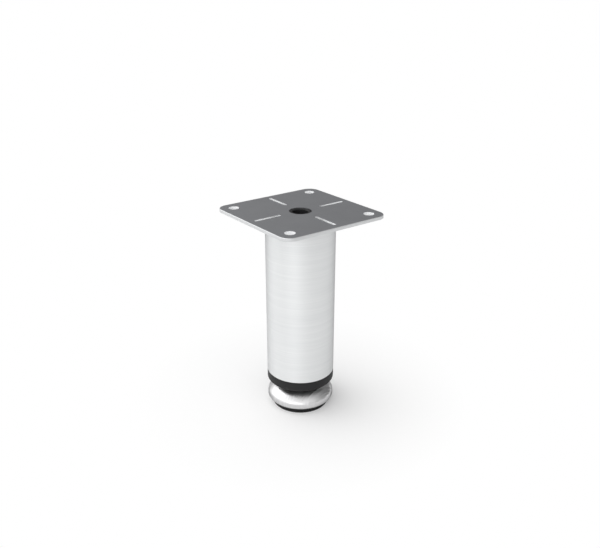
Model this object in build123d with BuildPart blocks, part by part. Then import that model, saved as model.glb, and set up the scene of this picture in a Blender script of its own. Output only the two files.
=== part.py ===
from build123d import *
from math import atan2, degrees
import os

# Bed leg: a round brushed tube under a square screw-on plate, closed at its lower end by a moulded insert,
# with a foot that screws in and out of the insert to set the height.
# The origin is on the floor under the leg's axis, +Z is up, and all sizes are in millimetres.

# Overall height, and how far the foot is unscrewed
leg_height = 150.0  # floor to the plate's top face with the foot screwed home
foot_out = 2.0  # how far the foot is unscrewed as shown
foot_travel = 15.0  # from screwed home to fully out

# Mounting plate
plate_side = 86.0
plate_thickness = 2.5
plate_corner_radius = 8.0
plate_edge_radius = 0.4  # rolled edge left by the stamping die
screw_spacing = 67.0
screw_hole_diameter = 7.4
centre_hole_diameter = 16.0
slot_width = 2.4
slot_start = 17.0  # from the leg's axis
slot_end = 38.0

# Leg tube
tube_diameter = 50.0
tube_wall = 1.5
tube_edge_break = 0.25

# Bush in the plate's centre hole
bush_bore_diameter = 11.0
bush_recess = 0.3  # below the plate's top face
bush_wall = 1.6
bush_flange_diameter = 22.0
bush_flange_thickness = 1.6
bush_length = 12.0  # below the plate
bush_lead_in = 0.6
bush_gussets = 6
bush_gusset_thickness = 1.2

# Insert in the tube's lower end
collar_height = 7.4
collar_edge_radius = 1.6
collar_shadow_line = 0.35  # small chamfer under the tube's edge
insert_depth = 18.0  # length inside the tube
insert_wall = 2.5
insert_floor = 3.0
insert_rib_height = 0.45  # grip ribs along the spigot
insert_rib_width = 1.2
insert_rib_count = 12
insert_lead_in = 1.0
hub_wall = 3.0  # around the nut's corners
hub_roof = 3.6  # over the nut
web_count = 6
web_thickness = 2.0
guide_wall = 2.4  # around the spindle above the nut
nut_recess = 1.0  # how far the nut sits above the collar's lower face

# Nut and spindle, M10
thread_diameter = 10.0
nut_across_flats = 17.0
nut_height = 8.0
nut_face_diameter = 16.2  # flat left on each face by turning the corners off
thread_end_chamfer = 1.0
thread_past_nut = 2.0  # left above the nut when the foot is fully out
key_across_flats = 5.0
key_depth = 5.0
flange_diameter = 17.0
flange_thickness = 2.4
stud_diameter = 8.0
stud_neck_diameter = 6.4
stud_neck_height = 1.8
stud_head_height = 5.7
stud_shank_height = 1.4
stud_tip_radius = 1.0

# Foot shell
shell_diameter = 49.4
shell_wall = 1.2
shell_height = 14.1  # lower edge to crown
shell_corner_radius = 2.5
shell_lip = 0.75  # flat turned in under the rolled lower corner
shell_land = 1.2  # straight band at the widest place
shell_shoulder_radius = 5.0
shell_crown_margin = 0.9  # flat crown past the spindle's flange

# Glide pad
pad_show = 4.5  # height that shows under the shell
pad_rise = 4.0  # how far its wall goes up inside the shell
pad_wall = 2.2
pad_floor = 2.4
pad_edge_radius = 0.6
pad_rib_count = 8
pad_rib_thickness = 1.6
socket_wall = 2.4
socket_slot_width = 1.6
socket_slot_count = 4
gate_diameter = 10.0  # shallow hollow under the pad's centre
gate_depth = 0.6

# Clearances
fit_clearance = 0.05  # pieces pressed or running in one another, on the radius
guide_clearance = 0.3  # round faces that pass without touching
thrust_clearance = 0.1  # flat faces that slide on one another
mouth_clearance = 0.45  # around the pad in the shell's mouth
stop_clearance = 0.2  # left between crown and collar with the foot screwed home

# Heights above the floor
shell_bottom_z = pad_show
crown_z = shell_bottom_z + shell_height
collar_z = crown_z + stop_clearance + foot_out
tube_z = collar_z + collar_height
plate_top_z = leg_height + foot_out
plate_z = plate_top_z - plate_thickness
insert_top_z = tube_z + insert_depth
nut_z = collar_z + nut_recess
nut_top_z = nut_z + nut_height
hub_top_z = nut_top_z + hub_roof
spindle_top_z = nut_top_z + foot_travel - foot_out + thread_past_nut
flange_z = crown_z - shell_wall - flange_thickness
stud_z = flange_z - stud_shank_height - stud_neck_height - stud_head_height

# Radii that fit one another
tube_radius = tube_diameter / 2
tube_bore_radius = tube_radius - tube_wall
thread_radius = thread_diameter / 2
spigot_radius = tube_bore_radius - fit_clearance - insert_rib_height
core_radius = spigot_radius - insert_wall
nut_corner_radius = nut_across_flats / 3**0.5
hub_radius = nut_corner_radius + hub_wall
guide_bore_radius = thread_radius + guide_clearance
guide_radius = guide_bore_radius + guide_wall
shell_radius = shell_diameter / 2
shell_mouth_radius = shell_radius - shell_corner_radius - shell_lip
pad_radius = shell_mouth_radius - mouth_clearance

os.makedirs("parts", exist_ok=True)

# Mounting plate, stamped from sheet
with BuildPart() as mounting_plate:
    with BuildSketch(Plane.XY.offset(plate_z)):
        RectangleRounded(plate_side, plate_side, plate_corner_radius)
        with GridLocations(screw_spacing, screw_spacing, 2, 2):
            Circle(screw_hole_diameter / 2, mode=Mode.SUBTRACT)
        Circle(centre_hole_diameter / 2, mode=Mode.SUBTRACT)
        with PolarLocations((slot_start + slot_end) / 2, 4):
            SlotOverall(slot_end - slot_start, slot_width, mode=Mode.SUBTRACT)
    extrude(amount=plate_thickness)
    top_rim = mounting_plate.faces().sort_by(Axis.Z)[-1].outer_wire().edges()
    bottom_rim = mounting_plate.faces().sort_by(Axis.Z)[0].outer_wire().edges()
    fillet(top_rim + bottom_rim, plate_edge_radius)
mounting_plate.part.label = "mounting_plate"
export_step(mounting_plate.part, "parts/mounting_plate.step")

# Leg tube, welded under the plate, with its lower edge broken
with BuildPart() as leg_tube:
    with BuildSketch(Plane.XY.offset(tube_z)):
        Circle(tube_radius)
        Circle(tube_bore_radius, mode=Mode.SUBTRACT)
    extrude(amount=plate_z - tube_z)
    lower_rims = leg_tube.faces().sort_by(Axis.Z)[0].edges()
    chamfer(lower_rims, tube_edge_break)
leg_tube.part.label = "leg_tube"
export_step(leg_tube.part, "parts/leg_tube.step")

# Centre bush, pushed up into the plate's hole from inside, stiffened by gussets under its flange
bush_radius = bush_bore_diameter / 2 + bush_wall
with BuildPart() as centre_bush:
    with BuildSketch(Plane.XZ):
        with BuildLine():
            Polyline(
                (bush_bore_diameter / 2, plate_z - bush_length),
                (bush_radius, plate_z - bush_length),
                (bush_radius, plate_z - bush_flange_thickness),
                (bush_flange_diameter / 2, plate_z - bush_flange_thickness),
                (bush_flange_diameter / 2, plate_z),
                (centre_hole_diameter / 2 - fit_clearance, plate_z),
                (centre_hole_diameter / 2 - fit_clearance, plate_top_z - bush_recess),
                (bush_bore_diameter / 2 + bush_lead_in, plate_top_z - bush_recess),
                (bush_bore_diameter / 2, plate_top_z - bush_recess - bush_lead_in),
                close=True,
            )
        make_face()
    revolve(axis=Axis.Z)
    with BuildSketch(Plane.XZ) as bush_gusset:
        with BuildLine():
            Polyline(
                (bush_radius - bush_wall / 2, plate_z - bush_length),
                (bush_radius, plate_z - bush_length),
                (bush_flange_diameter / 2, plate_z - bush_flange_thickness),
                (bush_radius - bush_wall / 2, plate_z - bush_flange_thickness),
                close=True,
            )
        make_face()
    gusset = extrude(bush_gusset.sketch, amount=bush_gusset_thickness / 2, both=True, mode=Mode.PRIVATE)
    with PolarLocations(0, bush_gussets):
        add(gusset)
centre_bush.part.label = "centre_bush"
export_step(centre_bush.part, "parts/centre_bush.step")

# End insert: the collar that shows, a ribbed spigot inside the tube and a webbed hub for the nut
with BuildPart() as end_insert:
    with BuildSketch(Plane.XZ):
        with BuildLine():
            Polyline(
                (0, collar_z),
                (tube_radius, collar_z),
                (tube_radius, tube_z - collar_shadow_line),
                (tube_radius - collar_shadow_line, tube_z),
                (spigot_radius, tube_z),
                (spigot_radius, insert_top_z - insert_lead_in),
                (spigot_radius - insert_lead_in, insert_top_z),
                (0, insert_top_z),
                close=True,
            )
        make_face()
    revolve(axis=Axis.Z)
    lower_rim = end_insert.faces().sort_by(Axis.Z)[0].edges()
    fillet(lower_rim, collar_edge_radius)

    # Grip ribs along the spigot
    with BuildSketch(Plane.XY.offset(tube_z)):
        with PolarLocations(spigot_radius, insert_rib_count):
            Rectangle(2 * insert_rib_height, insert_rib_width)
    extrude(amount=insert_depth - 2 * insert_lead_in)

    # Cored out from above, leaving the floor, the hub and its webs
    with BuildSketch(Plane.XY.offset(collar_z + insert_floor)):
        Circle(core_radius)
        Circle(hub_radius, mode=Mode.SUBTRACT)
        with PolarLocations(0, web_count // 2):
            Rectangle(2 * core_radius, web_thickness, mode=Mode.SUBTRACT)
    extrude(amount=insert_top_z - collar_z - insert_floor, mode=Mode.SUBTRACT)

    # The hub is lower than the wall, and only the spindle's guide rises to the top
    with BuildSketch(Plane.XY.offset(hub_top_z)):
        Circle(hub_radius)
        Circle(guide_radius, mode=Mode.SUBTRACT)
        with PolarLocations(0, web_count // 2):
            Rectangle(2 * core_radius, web_thickness, mode=Mode.SUBTRACT)
    extrude(amount=insert_top_z - hub_top_z, mode=Mode.SUBTRACT)

    # Nut pocket from below, and the spindle's way through
    with BuildSketch(Plane.XY.offset(collar_z)):
        RegularPolygon(nut_across_flats / 2 + fit_clearance, 6, major_radius=False)
    extrude(amount=nut_top_z - collar_z, mode=Mode.SUBTRACT)
    with BuildSketch(Plane.XY.offset(nut_top_z)):
        Circle(guide_bore_radius)
    extrude(amount=insert_top_z - nut_top_z, mode=Mode.SUBTRACT)
end_insert.part.label = "end_insert"
export_step(end_insert.part, "parts/end_insert.step")

# Spindle nut, with the corners of both faces turned off at 30 degrees
nut_face_radius = nut_face_diameter / 2
nut_bevel = (nut_corner_radius - nut_face_radius) / 3**0.5
with BuildPart() as spindle_nut:
    with BuildSketch(Plane.XY.offset(nut_z)):
        RegularPolygon(nut_across_flats / 2, 6, major_radius=False)
    extrude(amount=nut_height)
    with BuildSketch(Plane.XZ):
        with BuildLine():
            Polyline(
                (0, nut_z),
                (nut_face_radius, nut_z),
                (nut_corner_radius, nut_z + nut_bevel),
                (nut_corner_radius, nut_top_z - nut_bevel),
                (nut_face_radius, nut_top_z),
                (0, nut_top_z),
                close=True,
            )
        make_face()
    revolve(axis=Axis.Z, mode=Mode.INTERSECT)
    with Locations((0, 0, nut_top_z)):
        Hole(thread_radius + fit_clearance)
spindle_nut.part.label = "spindle_nut"
export_step(spindle_nut.part, "parts/spindle_nut.step")

# Spindle: snap stud, welding flange, thread (plain here) and a hexagon socket in its upper end
stud_shank_z = flange_z - stud_shank_height
stud_neck_z = stud_shank_z - stud_neck_height
with BuildPart() as spindle:
    with BuildSketch(Plane.XZ):
        with BuildLine():
            Polyline(
                (0, stud_z),
                (stud_diameter / 2 - stud_tip_radius, stud_z),
                (stud_diameter / 2, stud_z + stud_tip_radius),
                (stud_diameter / 2, stud_neck_z),
                (stud_neck_diameter / 2, stud_neck_z),
                (stud_neck_diameter / 2, stud_shank_z),
                (stud_diameter / 2, stud_shank_z),
                (stud_diameter / 2, flange_z),
                (flange_diameter / 2, flange_z),
                (flange_diameter / 2, flange_z + flange_thickness),
                (thread_radius, flange_z + flange_thickness),
                (thread_radius, spindle_top_z - thread_end_chamfer),
                (thread_radius - thread_end_chamfer, spindle_top_z),
                (0, spindle_top_z),
                close=True,
            )
        make_face()
    revolve(axis=Axis.Z)
    with BuildSketch(Plane.XY.offset(spindle_top_z)):
        RegularPolygon(key_across_flats / 2, 6, major_radius=False)
    extrude(amount=-key_depth, mode=Mode.SUBTRACT)
spindle.part.label = "spindle"
export_step(spindle.part, "parts/spindle.step")

# Foot shell, pressed from sheet: rolled lower corner, tight shoulder, wide dome and flat crown
# The dome's arc meets the crown level at its flat's edge, and the shoulder's arc without a kink
corner_z = shell_bottom_z + shell_corner_radius
shoulder_z = corner_z + shell_land
corner_centre = (shell_radius - shell_corner_radius, corner_z)
shoulder_centre = (shell_radius - shell_shoulder_radius, shoulder_z)
crown_radius = flange_diameter / 2 + shell_crown_margin
dome_reach = shoulder_centre[0] - crown_radius
dome_rise = crown_z - shoulder_z
dome_depth = dome_rise - shell_shoulder_radius
dome_radius = (dome_reach**2 + dome_rise**2 - shell_shoulder_radius**2) / (2 * dome_depth)
dome_centre = (crown_radius, crown_z - dome_radius)
meet_angle = degrees(atan2(dome_radius - dome_rise, dome_reach))
shell_bore_radius = thread_radius + fit_clearance
with BuildPart() as foot_shell:
    with BuildSketch(Plane.XZ):
        with BuildLine():
            Line((shell_mouth_radius, shell_bottom_z), (shell_radius - shell_corner_radius, shell_bottom_z))
            CenterArc(corner_centre, shell_corner_radius, 270, 90)
            Line((shell_radius, corner_z), (shell_radius, shoulder_z))
            CenterArc(shoulder_centre, shell_shoulder_radius, 0, meet_angle)
            CenterArc(dome_centre, dome_radius, meet_angle, 90 - meet_angle)
            Polyline(
                (crown_radius, crown_z),
                (shell_bore_radius, crown_z),
                (shell_bore_radius, crown_z - shell_wall),
                (crown_radius, crown_z - shell_wall),
            )
            CenterArc(dome_centre, dome_radius - shell_wall, meet_angle, 90 - meet_angle)
            CenterArc(shoulder_centre, shell_shoulder_radius - shell_wall, 0, meet_angle)
            Line((shell_radius - shell_wall, shoulder_z), (shell_radius - shell_wall, corner_z))
            CenterArc(corner_centre, shell_corner_radius - shell_wall, 270, 90)
            Polyline(
                (shell_radius - shell_corner_radius, shell_bottom_z + shell_wall),
                (shell_mouth_radius, shell_bottom_z + shell_wall),
                (shell_mouth_radius, shell_bottom_z),
            )
        make_face()
    revolve(axis=Axis.Z)
foot_shell.part.label = "foot_shell"
export_step(foot_shell.part, "parts/foot_shell.step")

# Glide pad: a ribbed dish on the floor, with slit fingers in its middle that snap over the stud's head
pad_top_z = shell_bottom_z + pad_rise
socket_radius = stud_diameter / 2 + guide_clearance
socket_top_z = flange_z - thrust_clearance
bead_radius = stud_neck_diameter / 2 + guide_clearance
bead_z = stud_neck_z + thrust_clearance
bead_top_z = stud_shank_z - thrust_clearance
with BuildPart() as glide_pad:
    with BuildSketch(Plane.XZ):
        with BuildLine():
            Polyline(
                (0, gate_depth),
                (gate_diameter / 2, gate_depth),
                (gate_diameter / 2, 0),
                (pad_radius, 0),
                (pad_radius, pad_top_z),
                (pad_radius - pad_wall, pad_top_z),
                (pad_radius - pad_wall, pad_floor),
                (socket_radius + socket_wall, pad_floor),
                (socket_radius + socket_wall, socket_top_z),
                (socket_radius, socket_top_z),
                (socket_radius, bead_top_z),
                (bead_radius, bead_top_z),
                (bead_radius, bead_z),
                (socket_radius, bead_z),
                (socket_radius, pad_floor),
                (0, pad_floor),
                close=True,
            )
        make_face()
    revolve(axis=Axis.Z)
    outer_rim = glide_pad.faces().sort_by(Axis.Z)[0].outer_wire().edges()
    fillet(outer_rim, pad_edge_radius)

    # Ribs from the socket to the wall
    rib_start = socket_radius + socket_wall / 2
    rib_end = pad_radius - pad_wall / 2
    with BuildSketch(Plane.XY.offset(pad_floor)):
        with PolarLocations((rib_start + rib_end) / 2, pad_rib_count, start_angle=180 / pad_rib_count):
            Rectangle(rib_end - rib_start, pad_rib_thickness)
    extrude(amount=pad_top_z - pad_floor)

    # Slits between the snap fingers
    with BuildSketch(Plane.XY.offset(pad_floor)):
        with PolarLocations(socket_radius + socket_wall / 2, socket_slot_count):
            Rectangle(2 * socket_wall, socket_slot_width)
    extrude(amount=socket_top_z - pad_floor, mode=Mode.SUBTRACT)
glide_pad.part.label = "glide_pad"
export_step(glide_pad.part, "parts/glide_pad.step")
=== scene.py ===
"""Bed leg with a screw-adjusted foot: finishes and fine detail around the CAD model, in metres, +Z up."""
import math

import bmesh
import bpy
from mathutils import Matrix, Vector


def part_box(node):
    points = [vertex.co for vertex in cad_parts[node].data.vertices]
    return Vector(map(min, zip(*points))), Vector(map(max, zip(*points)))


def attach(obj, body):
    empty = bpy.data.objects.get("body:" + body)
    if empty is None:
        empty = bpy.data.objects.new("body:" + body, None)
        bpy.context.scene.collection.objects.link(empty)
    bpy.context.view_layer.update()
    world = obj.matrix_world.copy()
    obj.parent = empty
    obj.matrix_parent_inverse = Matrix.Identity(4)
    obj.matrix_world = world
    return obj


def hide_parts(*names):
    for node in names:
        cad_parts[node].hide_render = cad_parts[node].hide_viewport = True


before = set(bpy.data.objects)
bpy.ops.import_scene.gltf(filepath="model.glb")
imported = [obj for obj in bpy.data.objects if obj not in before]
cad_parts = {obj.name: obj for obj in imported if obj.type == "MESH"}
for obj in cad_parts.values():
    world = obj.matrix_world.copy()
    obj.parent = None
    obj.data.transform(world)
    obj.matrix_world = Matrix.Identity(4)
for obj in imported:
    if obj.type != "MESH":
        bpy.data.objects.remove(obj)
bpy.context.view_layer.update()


# Mounting plate
# Stamped from 2.5 mm cold-rolled steel sheet, with round screw holes, sighting slots on its mid-lines
# and a hole in the middle. The faces keep the rolled sheet's grey skin, whose darker grey is partly a
# painted reflection of a dark surround, and what the die sheared is bright.
MM = 0.001
HOLES_WITHIN = 39.0 * MM
BUSH_WITHIN = 9.0 * MM
ROLL_LINE = (40.0 * MM, 0.303 * MM, 40.0 * MM)
SKIN_MOTTLE = 11.1 * MM
FACE_TILT = 0.995
SHEARED_TILT = 0.93
SKIN_METAL = 0.75
HOLE_WALL_METAL = 0.25


def hex_colour(text):
    """Linear RGBA of an sRGB hex colour."""
    values = []
    for start in (0, 2, 4):
        level = int(text[start:start + 2], 16) / 255
        values.append(level / 12.92 if level <= 0.04045 else ((level + 0.055) / 1.055) ** 2.4)
    return (*values, 1.0)


def feed(node, **inputs):
    """Sets a node's inputs, each to a value or to another node's output. An input has its socket's name,
    or an underscore and the socket's place: _6 and _7 are the two colours that a Mix goes between."""
    for name, value in inputs.items():
        socket = node.inputs[int(name[1:])] if name[0] == "_" else node.inputs[name.replace("_", " ")]
        if isinstance(value, bpy.types.NodeSocket):
            node.id_data.links.new(value, socket)
        else:
            socket.default_value = value


def add_node(tree, kind, settings=None, **inputs):
    """Adds a node with its settings, and feeds its inputs."""
    made = tree.nodes.new("ShaderNode" + kind)
    for name, value in (settings or {}).items():
        setattr(made, name, value)
    feed(made, **inputs)
    return made


def new_material(name):
    """A new material, its node tree and its shader, and the Object coordinates that patterns read."""
    material = bpy.data.materials.new(name)
    material.use_nodes = True
    tree = material.node_tree
    tree.nodes.clear()
    shader = add_node(tree, "BsdfPrincipled")
    add_node(tree, "OutputMaterial", Surface=shader.outputs["BSDF"])
    place = add_node(tree, "TexCoord").outputs["Object"]
    return material, tree, shader, place


def wear_finish(node_name, material):
    """Gives a CAD node this material alone."""
    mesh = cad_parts[node_name].data
    mesh.materials.clear()
    mesh.materials.append(material)


# Cold-rolled steel: the rollers leave fine lines along X, 0.3 mm apart here so that they show
plate_steel, tree, shader, place = new_material("cold_rolled_steel_plate")
rolled = add_node(tree, "Mapping", Vector=place, Scale=[1 / size for size in ROLL_LINE])
roll_lines = add_node(tree, "TexNoise", Vector=rolled.outputs[0], Scale=1.0, Detail=3.0)
mottle = add_node(tree, "TexNoise", Vector=place, Scale=1 / SKIN_MOTTLE, Detail=4.0)
# The faces' grey is the rolled skin mottled at random, kept darker than bare steel as a painted reflection
# of a dark surround
skin_and_reflection_tone = add_node(tree, "Mix", {"data_type": "RGBA"}, _0=mottle.outputs["Fac"],
                     _6=hex_colour("898a8d"), _7=hex_colour("909194"))

# The tilts say how squarely a surface looks up or down, from 0 to 1: what looks sideways was sheared.
# The walls of the holes and slots are painted lighter than the outer edge, as a painted highlight for the
# glint along the slots' edges, and their torn grain scatters more light than it mirrors. The wall round the
# bush stays dull.
facing = add_node(tree, "SeparateXYZ", Vector=add_node(tree, "NewGeometry").outputs["Normal"])
up_or_down = add_node(tree, "Math", {"operation": "ABSOLUTE"}, _0=facing.outputs["Z"])
sheared = add_node(tree, "MapRange", Value=up_or_down.outputs[0], From_Min=FACE_TILT,
                   From_Max=SHEARED_TILT)
from_axis = add_node(tree, "VectorMath", {"operation": "ABSOLUTE"}, _0=place)
from_axis = add_node(tree, "SeparateXYZ", Vector=from_axis.outputs[0])
furthest = add_node(tree, "Math", {"operation": "MAXIMUM"}, _0=from_axis.outputs["X"],
                    _1=from_axis.outputs["Y"])
at_hole = add_node(tree, "Math", {"operation": "LESS_THAN"}, _0=furthest.outputs[0], _1=HOLES_WITHIN)
past_bush = add_node(tree, "Math", {"operation": "GREATER_THAN"}, _0=furthest.outputs[0], _1=BUSH_WITHIN)
bare = add_node(tree, "Math", {"operation": "MULTIPLY"}, _0=sheared.outputs[0], _1=past_bush.outputs[0])
hole_wall = add_node(tree, "Math", {"operation": "MULTIPLY"}, _0=bare.outputs[0], _1=at_hole.outputs[0])
# Hole and slot walls lighter than the outer edge: a painted highlight
wall_and_highlight_tone = add_node(tree, "Mix", {"data_type": "RGBA"}, _0=at_hole.outputs[0],
                     _6=hex_colour("d5d6d7"), _7=hex_colour("edeeef"))
tone = add_node(tree, "Mix", {"data_type": "RGBA"}, _0=bare.outputs[0],
                _6=skin_and_reflection_tone.outputs[2], _7=wall_and_highlight_tone.outputs[2])
metal = add_node(tree, "MapRange", Value=hole_wall.outputs[0], To_Min=SKIN_METAL, To_Max=HOLE_WALL_METAL)
rough = add_node(tree, "MapRange", Value=roll_lines.outputs["Fac"], To_Min=0.42, To_Max=0.54)
relief = add_node(tree, "Bump", Height=roll_lines.outputs["Fac"], Strength=0.08, Distance=0.02 * MM)
feed(shader, Base_Color=tone.outputs[2], Metallic=metal.outputs[0], Roughness=rough.outputs[0],
     Normal=relief.outputs[0])
wear_finish("mounting_plate", plate_steel)


# Leg tube
# Welded steel tube, 50 mm across with a 1.5 mm wall, brushed round and round on a lathe and
# clear-lacquered. It is welded to the plate from inside, so no bead shows outside.
tube_low, tube_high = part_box("leg_tube")
TUBE_WALL = 1.5 * MM
TUBE_EDGE = 0.25 * MM
ROUND_STEPS = 192
MERGE_WITHIN = 0.001 * MM
SMOOTH_BELOW = math.radians(35)
SCRATCH = (33.3 * MM, 33.3 * MM, 0.385 * MM)
SCRATCH_BAND = (83.3 * MM, 83.3 * MM, 2.38 * MM)
BAND_SHARE = 0.35


def spin_outline(shape, outline, steps, closed=False, turns=1, pitch=0.0):
    """Spins an outline of (radius, height) points about the leg's axis, rising by the pitch each turn."""
    points = [shape.verts.new((radius, 0, height)) for radius, height in outline]
    edges = [shape.edges.new(pair) for pair in zip(points, points[1:])]
    if closed:
        edges.append(shape.edges.new((points[-1], points[0])))
    bmesh.ops.spin(shape, geom=points + edges, cent=(0, 0, 0), axis=(0, 0, 1), angle=math.tau * turns,
                   steps=steps * turns, dvec=(0, 0, pitch / steps), use_merge=pitch == 0)


def finished_piece(name, shape):
    """Turns a bmesh into an object at the origin, smooth apart from its sharp edges."""
    bmesh.ops.remove_doubles(shape, verts=shape.verts[:], dist=MERGE_WITHIN)
    bmesh.ops.recalc_face_normals(shape, faces=shape.faces[:])
    mesh = bpy.data.meshes.new(name)
    shape.to_mesh(mesh)
    shape.free()
    mesh.shade_smooth()
    mesh.set_sharp_from_angle(angle=SMOOTH_BELOW)
    piece = bpy.data.objects.new(name, mesh)
    bpy.context.scene.collection.objects.link(piece)
    return piece


def turned_piece(name, outline):
    """A piece turned from a closed outline."""
    shape = bmesh.new()
    spin_outline(shape, outline, ROUND_STEPS, closed=True)
    return finished_piece(name, shape)


outer = tube_high.x
inner = outer - TUBE_WALL
tube = turned_piece("brushed_tube", [
    (outer, tube_high.z),
    (outer, tube_low.z + TUBE_EDGE),
    (outer - TUBE_EDGE, tube_low.z),
    (inner + TUBE_EDGE, tube_low.z),
    (inner, tube_low.z + TUBE_EDGE),
    (inner, tube_high.z),
])

# Brushed steel: scratches a few centimetres long run round the tube, 0.4 mm apart here so that they show.
# The light catches their sides, so highlights are drawn out along the tube, and at a grazing angle they
# shade one another, which the grey tint gives.
tube_steel, tree, shader, place = new_material("brushed_steel_tube")
brushed = add_node(tree, "Mapping", Vector=place, Scale=[1 / size for size in SCRATCH])
scratches = add_node(tree, "TexNoise", Vector=brushed.outputs[0], Scale=1.0, Detail=5.0, Roughness=0.65)
banded = add_node(tree, "Mapping", Vector=place, Scale=[1 / size for size in SCRATCH_BAND])
bands = add_node(tree, "TexNoise", Vector=banded.outputs[0], Scale=1.0, Detail=2.0)
brushing = add_node(tree, "Mix", {"data_type": "FLOAT"}, _0=BAND_SHARE, _2=scratches.outputs["Fac"],
                    _3=bands.outputs["Fac"])
tone = add_node(tree, "Mix", {"data_type": "RGBA"}, _0=brushing.outputs[0],
                _6=hex_colour("d6d8d9"), _7=hex_colour("f2f3f3"))
rough = add_node(tree, "MapRange", Value=scratches.outputs["Fac"], To_Min=0.36, To_Max=0.50)
along_tube = add_node(tree, "CombineXYZ", Z=1.0)
relief = add_node(tree, "Bump", Height=scratches.outputs["Fac"], Strength=0.12, Distance=0.03 * MM)
feed(shader, Base_Color=tone.outputs[2], Metallic=0.85, Roughness=rough.outputs[0],
     Specular_Tint=(0.45, 0.45, 0.45, 1), Anisotropic=0.5, Tangent=along_tube.outputs[0],
     Normal=relief.outputs[0])
tube.data.materials.append(tube_steel)
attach(tube, "leg")
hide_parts("leg_tube")


# Centre bush
# Moulded in black nylon and pushed up into the plate's centre hole from inside, before the tube is
# closed. It guides a key or a bolt, and its top lies a little below the plate's face.
NYLON_GRAIN = 0.4 * MM
NYLON_CLOUD = 16.7 * MM

# Moulded nylon: a fine spark-eroded texture, 0.4 mm here so that it shows, and a soft waxy sheen
black_nylon, tree, shader, place = new_material("moulded_black_nylon")
grain = add_node(tree, "TexNoise", Vector=place, Scale=1 / NYLON_GRAIN, Detail=3.0)
clouds = add_node(tree, "TexNoise", Vector=place, Scale=1 / NYLON_CLOUD, Detail=2.0)
tone = add_node(tree, "Mix", {"data_type": "RGBA"}, _0=clouds.outputs["Fac"],
                _6=hex_colour("1c1c1d"), _7=hex_colour("212122"))
rough = add_node(tree, "MapRange", Value=grain.outputs["Fac"], To_Min=0.5, To_Max=0.62)
relief = add_node(tree, "Bump", Height=grain.outputs["Fac"], Strength=0.15, Distance=0.03 * MM)
feed(shader, Base_Color=tone.outputs[2], Roughness=rough.outputs[0], IOR=1.53, Specular_IOR_Level=0.25,
     Normal=relief.outputs[0])
wear_finish("centre_bush", black_nylon)


# End insert
# One nylon moulding: the collar that shows under the tube, a ribbed spigot that grips the tube's
# bore, and a webbed hub in which the nut is caught. It is moulded from the bush's nylon.
wear_finish("end_insert", black_nylon)


# Spindle nut
# M10 hexagon nut, cold formed and zinc plated. It is pressed into the insert's pocket from below and
# held there by its flats, so the spindle climbs through it as the foot is turned.
ZINC_MOTTLE = 1.43 * MM

# Bright zinc plate: a pale bluish satin with a soft crystalline mottle, drawn coarse so that it shows
zinc_plate, tree, shader, place = new_material("zinc_plated_steel")
mottle = add_node(tree, "TexNoise", Vector=place, Scale=1 / ZINC_MOTTLE, Detail=4.0)
tone = add_node(tree, "Mix", {"data_type": "RGBA"}, _0=mottle.outputs["Fac"],
                _6=hex_colour("b4b8bd"), _7=hex_colour("cdd1d5"))
rough = add_node(tree, "MapRange", Value=mottle.outputs["Fac"], To_Min=0.24, To_Max=0.38)
feed(shader, Base_Color=tone.outputs[2], Metallic=1.0, Roughness=rough.outputs[0])
wear_finish("spindle_nut", zinc_plate)


# Spindle
# M10 screw, rolled thread, zinc plated, with a socket for a hexagon key in its upper end. Its flange is
# projection-welded under the shell's crown, and the pad snaps over the stud below the flange.
spindle_low, spindle_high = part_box("spindle")
STUD_RADIUS = 4.0 * MM
STUD_TIP = 1.0 * MM
STUD_HEAD = 5.7 * MM
NECK_RADIUS = 3.2 * MM
NECK_HEIGHT = 1.8 * MM
SHANK_HEIGHT = 1.4 * MM
FLANGE_THICKNESS = 2.4 * MM
THREAD_RADIUS = 5.0 * MM
THREAD_ROOT = 4.08 * MM
THREAD_PITCH = 1.5 * MM
ROOT_FLAT = THREAD_PITCH / 4
CREST_FLAT = THREAD_PITCH / 8
THREAD_FLANK = (THREAD_PITCH - ROOT_FLAT - CREST_FLAT) / 2
SPARE_TURNS = 2
TURN_STEPS = 48
END_CHAMFER = 1.0 * MM
KEY_ACROSS_FLATS = 5.0 * MM
KEY_DEPTH = 5.0 * MM


def cut_across(shape, height, facing=1, clear=False):
    """Cuts a shape across the leg's axis. Clear drops the side that facing gives: 1 above, -1 below."""
    bmesh.ops.bisect_plane(shape, geom=shape.verts[:] + shape.edges[:] + shape.faces[:],
                           plane_co=(0, 0, height), plane_no=(0, 0, facing), clear_outer=clear)


neck_z = spindle_low.z + STUD_HEAD
shank_z = neck_z + NECK_HEIGHT
flange_z = shank_z + SHANK_HEIGHT
flange_top = flange_z + FLANGE_THICKNESS
shape = bmesh.new()
spin_outline(shape, [
    (0, spindle_low.z),
    (STUD_RADIUS - STUD_TIP, spindle_low.z),
    (STUD_RADIUS, spindle_low.z + STUD_TIP),
    (STUD_RADIUS, neck_z),
    (NECK_RADIUS, neck_z),
    (NECK_RADIUS, shank_z),
    (STUD_RADIUS, shank_z),
    (STUD_RADIUS, flange_z),
    (spindle_high.x, flange_z),
    (spindle_high.x, flange_top),
], TURN_STEPS)

# The thread: one pitch of its profile climbs round the axis, and what runs past either end is cut off
start_z = flange_top - THREAD_PITCH
crest_z = start_z + ROOT_FLAT + THREAD_FLANK
turns = math.ceil((spindle_high.z - flange_top) / THREAD_PITCH) + SPARE_TURNS
rod = bmesh.new()
spin_outline(rod, [
    (THREAD_ROOT, start_z),
    (THREAD_ROOT, start_z + ROOT_FLAT),
    (THREAD_RADIUS, crest_z),
    (THREAD_RADIUS, crest_z + CREST_FLAT),
    (THREAD_ROOT, start_z + THREAD_PITCH),
], TURN_STEPS, turns=turns, pitch=THREAD_PITCH)
bmesh.ops.remove_doubles(rod, verts=rod.verts[:], dist=MERGE_WITHIN)
cut_across(rod, flange_top, facing=-1, clear=True)
cut_across(rod, spindle_high.z, clear=True)

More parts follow.
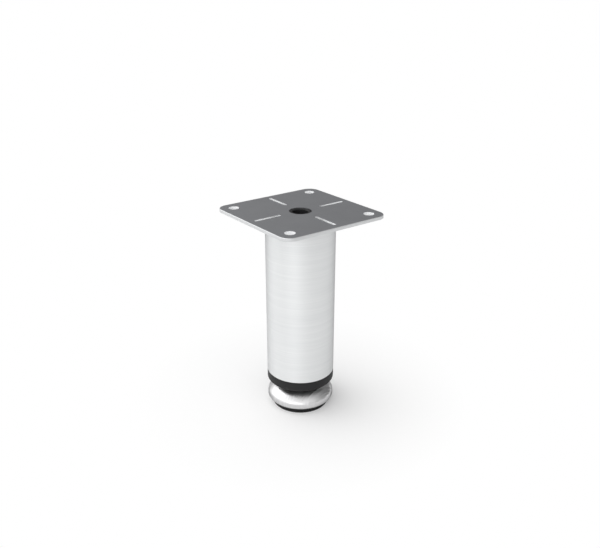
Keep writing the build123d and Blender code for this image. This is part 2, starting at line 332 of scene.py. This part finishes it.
# The upper end is chamfered: above a cut at its start, nothing reaches further out than its slope
chamfer_z = spindle_high.z - END_CHAMFER
cut_across(rod, chamfer_z)
for point in rod.verts:
    slope_radius = THREAD_RADIUS - max(0, point.co.z - chamfer_z)
    shrink = min(1, slope_radius / point.co.xy.length)
    point.co.x *= shrink
    point.co.y *= shrink

# The upper end runs in to the mouth of the key socket
top_edges = [edge for edge in rod.edges if edge.is_boundary and edge.verts[0].co.z > chamfer_z]
key_mouth = bmesh.ops.create_circle(rod, segments=6, radius=KEY_ACROSS_FLATS / math.sqrt(3),
                                    matrix=Matrix.Translation((0, 0, spindle_high.z)))
key_edges = list({edge for point in key_mouth["verts"] for edge in point.link_edges})
bmesh.ops.bridge_loops(rod, edges=top_edges + key_edges)
key_walls = bmesh.ops.extrude_edge_only(rod, edges=key_edges)["geom"]
key_floor = [item for item in key_walls if isinstance(item, bmesh.types.BMVert)]
bmesh.ops.translate(rod, verts=key_floor, vec=(0, 0, -KEY_DEPTH))
bmesh.ops.holes_fill(rod, edges=[item for item in key_walls if isinstance(item, bmesh.types.BMEdge)])

# The rod's lower end joins the flange, whose top is open so far
rod_mesh = bpy.data.meshes.new("rod")
rod.to_mesh(rod_mesh)
rod.free()
shape.from_mesh(rod_mesh)
bpy.data.meshes.remove(rod_mesh)
seam = [edge for edge in shape.edges if edge.is_boundary and edge.verts[0].co.z > flange_z]
bmesh.ops.bridge_loops(shape, edges=seam)
spindle = finished_piece("threaded_spindle", shape)
spindle.data.materials.append(zinc_plate)
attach(spindle, "foot")
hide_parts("spindle")


# Foot shell
# Pressed from 1.2 mm steel sheet, belt-polished in straight strokes and nickel plated. Turned by
# hand, it screws the spindle in and out.
shell_low, shell_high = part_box("foot_shell")
SHELL_WALL = 1.2 * MM
SHELL_CORNER = 2.5 * MM
SHELL_LIP = 0.75 * MM
SHELL_LAND = 1.2 * MM
SHELL_SHOULDER = 5.0 * MM
SHELL_CROWN = 9.4 * MM
SHELL_BORE = 5.05 * MM
CORNER_STEPS, SHOULDER_STEPS, DOME_STEPS = 14, 16, 20
INNER_CORNER_STEPS, INNER_SHOULDER_STEPS, INNER_DOME_STEPS = 6, 10, 12
STROKE_ANGLE = math.radians(12)
STROKE = (1.0 * MM, 22.2 * MM, 22.2 * MM)


def arc(centre, radius, start, end, steps):
    """Points of an arc in the outline's plane, from one angle to another in degrees."""
    angles = [math.radians(start + (end - start) * step / steps) for step in range(steps + 1)]
    return [(centre[0] + radius * math.cos(turn), centre[1] + radius * math.sin(turn)) for turn in angles]


# The dome has the one radius with which it meets both the flat crown and the shoulder without a kink
mouth = shell_high.x - SHELL_CORNER - SHELL_LIP
corner_centre = (shell_high.x - SHELL_CORNER, shell_low.z + SHELL_CORNER)
shoulder_centre = (shell_high.x - SHELL_SHOULDER, corner_centre[1] + SHELL_LAND)
reach = shoulder_centre[0] - SHELL_CROWN
rise = shell_high.z - shoulder_centre[1]
dome = (reach ** 2 + rise ** 2 - SHELL_SHOULDER ** 2) / (2 * (rise - SHELL_SHOULDER))
dome_centre = (SHELL_CROWN, shell_high.z - dome)
meet_angle = math.degrees(math.atan2(dome - rise, reach))
outline = [(mouth, shell_low.z)]
outline += arc(corner_centre, SHELL_CORNER, -90, 0, CORNER_STEPS)
outline += arc(shoulder_centre, SHELL_SHOULDER, 0, meet_angle, SHOULDER_STEPS)
outline += arc(dome_centre, dome, meet_angle, 90, DOME_STEPS)[1:]
outline += [(SHELL_BORE, shell_high.z), (SHELL_BORE, shell_high.z - SHELL_WALL)]
outline += arc(dome_centre, dome - SHELL_WALL, 90, meet_angle, INNER_DOME_STEPS)
outline += arc(shoulder_centre, SHELL_SHOULDER - SHELL_WALL, meet_angle, 0, INNER_SHOULDER_STEPS)[1:]
outline += arc(corner_centre, SHELL_CORNER - SHELL_WALL, 0, -90, INNER_CORNER_STEPS)
outline += [(mouth, shell_low.z + SHELL_WALL)]
shell = turned_piece("polished_shell", outline)

# Polished nickel: straight belt strokes in one direction, drawn 1 mm apart so that they show, which
# break up the reflection of the collar into slanting streaks. The tint greys the rim as on the tube.
shell_steel, tree, shader, place = new_material("belt_polished_nickel")
belt_frame = add_node(tree, "Mapping", Vector=place, Rotation=(0, 0, math.pi / 2 - STROKE_ANGLE))
stroked = add_node(tree, "Mapping", Vector=belt_frame.outputs[0], Scale=[1 / size for size in STROKE])
strokes = add_node(tree, "TexNoise", Vector=stroked.outputs[0], Scale=1.0, Detail=1.0, Roughness=0.5)
tone = add_node(tree, "Mix", {"data_type": "RGBA"}, _0=strokes.outputs["Fac"],
                _6=hex_colour("d3d3d4"), _7=hex_colour("e2e2e2"))
rough = add_node(tree, "MapRange", Value=strokes.outputs["Fac"], To_Min=0.26, To_Max=0.36)
across_strokes = add_node(tree, "CombineXYZ", X=-math.sin(STROKE_ANGLE), Y=math.cos(STROKE_ANGLE))
relief = add_node(tree, "Bump", Height=strokes.outputs["Fac"], Strength=1.0, Distance=0.45 * MM)
feed(shader, Base_Color=tone.outputs[2], Metallic=1.0, Roughness=rough.outputs[0],
     Specular_Tint=(0.2, 0.2, 0.2, 1), Anisotropic=0.6, Tangent=across_strokes.outputs[0],
     Normal=relief.outputs[0])
shell.data.materials.append(shell_steel)
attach(shell, "foot")
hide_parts("foot_shell")


# Glide pad
# Moulded in black polyethylene, ribbed inside. Its fingers snap over the spindle's stud, so it can
# stay still on the floor while the shell turns.
PAD_GRAIN = 0.5 * MM

# Moulded polyethylene: darker and duller than the nylon, with its grain drawn 0.5 mm so that it shows
black_glide, tree, shader, place = new_material("moulded_black_polyethylene")
grain = add_node(tree, "TexNoise", Vector=place, Scale=1 / PAD_GRAIN, Detail=3.0)
tone = add_node(tree, "Mix", {"data_type": "RGBA"}, _0=grain.outputs["Fac"],
                _6=hex_colour("0e0e0f"), _7=hex_colour("131314"))
rough = add_node(tree, "MapRange", Value=grain.outputs["Fac"], To_Min=0.5, To_Max=0.66)
relief = add_node(tree, "Bump", Height=grain.outputs["Fac"], Strength=0.12, Distance=0.03 * MM)
feed(shader, Base_Color=tone.outputs[2], Roughness=rough.outputs[0], Specular_IOR_Level=0.25,
     Normal=relief.outputs[0])
wear_finish("glide_pad", black_glide)


# Floor
# A plain pale sheet under the leg. It takes the leg's soft shadow, which lies behind the leg, and fades
# to white away from it.
FLOOR_REACH = 20.0
SHADOW_CENTRE = (8.4 * MM, 11.2 * MM, 0)
SHADOW_NEAR = 22.0 * MM
SHADOW_FAR = 130.0 * MM
SHADOW_FALLOFF = 0.6
shape = bmesh.new()
bmesh.ops.create_grid(shape, x_segments=1, y_segments=1, size=FLOOR_REACH)
floor = finished_piece("floor", shape)

# White paper: a matt sheet that shows the shadow near the leg. Further off, what the camera, a
# reflection or clear material sees of it is plain white.
floor_paper, tree, shader, place = new_material("white_paper_floor")
feed(shader, Base_Color=hex_colour("f8f8f8"), Roughness=0.9, Specular_IOR_Level=0.2)
distance = add_node(tree, "VectorMath", {"operation": "DISTANCE"}, _0=place, _1=SHADOW_CENTRE)
past_shadow = add_node(tree, "MapRange", Value=distance.outputs["Value"], From_Min=SHADOW_NEAR,
                       From_Max=SHADOW_FAR)
fade = add_node(tree, "Math", {"operation": "POWER"}, _0=past_shadow.outputs[0], _1=SHADOW_FALLOFF)
rays = add_node(tree, "LightPath")
seen = add_node(tree, "Math", {"operation": "MAXIMUM"}, _0=rays.outputs["Is Camera Ray"],
                _1=rays.outputs["Is Glossy Ray"])
seen = add_node(tree, "Math", {"operation": "MAXIMUM"}, _0=seen.outputs[0],
                _1=rays.outputs["Is Transmission Ray"])
share = add_node(tree, "Math", {"operation": "MULTIPLY"}, _0=fade.outputs[0], _1=seen.outputs[0])
white = add_node(tree, "Emission", Color=(1, 1, 1, 1), Strength=1.0)
blend = add_node(tree, "MixShader", _0=share.outputs[0], _1=shader.outputs["BSDF"], _2=white.outputs[0])
feed(tree.nodes["Material Output"], Surface=blend.outputs[0])
floor.data.materials.append(floor_paper)


# Studio light and camera
# A white studio whose walls glow where softboxes stand behind them: a large one on the left, low and
# wide ones in front, and weaker ones on the right and above. All else is nearly dark.
CAMERA_AZIMUTH = math.radians(-36.85)
EVEN_GLOW = 0.2

# Each glow has a bearing from the camera's side, an elevation, a tightness and a strength
SOFTBOX_GLOWS = {
    "left": (-95, 22, 5, 2.0),
    "front_low": (-20, 8, 8, 2.4),
    "front": (5, 37, 12, 0.4),
    "front_right": (32, 34, 12, 0.8),
    "right": (65, 30, 12, 0.4),
    "high_back": (-155, 60, 8, 0.9),
    "high_left": (-110, 60, 8, 1.0),
}
to_right = Vector((math.cos(CAMERA_AZIMUTH), math.sin(CAMERA_AZIMUTH), 0))
to_camera = Vector((math.sin(CAMERA_AZIMUTH), -math.cos(CAMERA_AZIMUTH), 0))
up = Vector((0, 0, 1))
world = bpy.data.worlds.new("studio")
bpy.context.scene.world = world
world.use_nodes = True
tree = world.node_tree
direction = add_node(tree, "TexCoord").outputs["Generated"]


def bearing_vector(bearing, elevation):
    """Unit vector at a bearing, positive to the camera's right, and an elevation, both in degrees."""
    side, lift = math.radians(bearing), math.radians(elevation)
    return (to_right * math.sin(side) + to_camera * math.cos(side)) * math.cos(lift) + up * math.sin(lift)


strength = EVEN_GLOW
for bearing, elevation, tightness, brightness in SOFTBOX_GLOWS.values():
    towards = add_node(tree, "VectorMath", {"operation": "DOT_PRODUCT"}, _0=direction,
                       _1=bearing_vector(bearing, elevation))
    towards = add_node(tree, "Math", {"operation": "MAXIMUM"}, _0=towards.outputs["Value"], _1=0.0)
    glow = add_node(tree, "Math", {"operation": "POWER"}, _0=towards.outputs[0], _1=tightness)
    strength = add_node(tree, "Math", {"operation": "MULTIPLY_ADD"}, _0=glow.outputs[0], _1=brightness,
                        _2=strength).outputs[0]
feed(tree.nodes["Background"], Color=(1, 1, 1, 1), Strength=strength)

# The camera's place and lens come from the plate's corners, its holes and the tube in the photograph.
# The lens and the sensor are in millimetres.
CAMERA_DISTANCE = 0.4592
CAMERA_HEIGHT = 0.2962
CAMERA_PITCH = math.radians(22.67)
AIM_OFFSET = math.radians(0.036)
LENS = 41.39
SENSOR_WIDTH = 36.0
CLIP_START = 10.0 * MM
lens = bpy.data.cameras.new("camera")
lens.sensor_width = SENSOR_WIDTH
lens.lens = LENS
lens.clip_start = CLIP_START
camera = bpy.data.objects.new("camera", lens)
camera.location = CAMERA_DISTANCE * to_camera + CAMERA_HEIGHT * up
camera.rotation_euler = (math.pi / 2 - CAMERA_PITCH, 0, CAMERA_AZIMUTH + AIM_OFFSET)
bpy.context.scene.collection.objects.link(camera)
bpy.context.scene.camera = camera
bpy.context.scene.view_settings.view_transform = "Standard"
